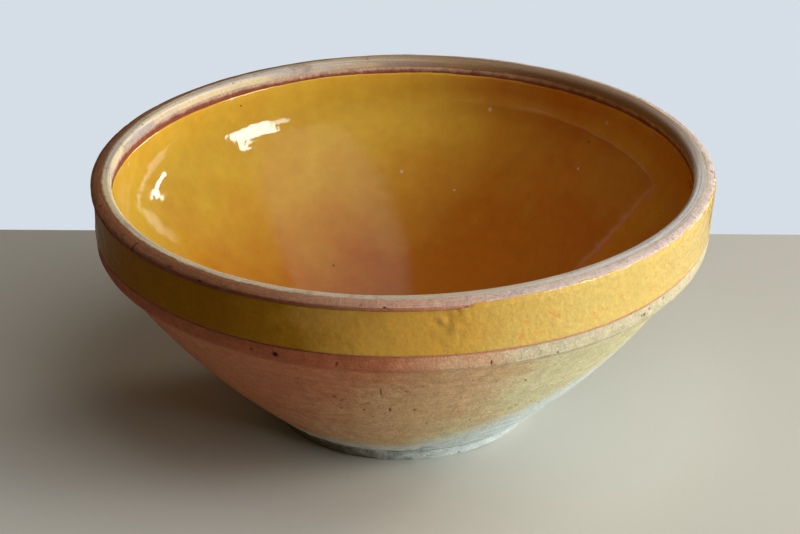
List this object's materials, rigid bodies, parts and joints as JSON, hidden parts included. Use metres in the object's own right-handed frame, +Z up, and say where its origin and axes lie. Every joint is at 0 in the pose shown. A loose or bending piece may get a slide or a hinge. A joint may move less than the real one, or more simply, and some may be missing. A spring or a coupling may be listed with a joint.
{
  "type": "mixing bowl",
  "caption": "Round glazed earthenware mixing bowl: flared wall, thick banded collar with a rounded bead, flat lip and low turned foot.",
  "frame": {"origin": "centre of the foot's resting ring, on the table", "axes": "+Z up along the axis that the bowl is turned about"},
  "size_m": [0.4, 0.3998, 0.17],
  "materials": {
    "terracotta": "matte",
    "pale_slip": "matte",
    "inside_glaze": "gloss",
    "band_glaze": "gloss"
  },
  "bodies": {
    "root": {"clay_body": "terracotta", "lip_slip": "pale_slip", "inside_glaze": "inside_glaze", "band_glaze": "band_glaze"}
  },
  "joints": []
}
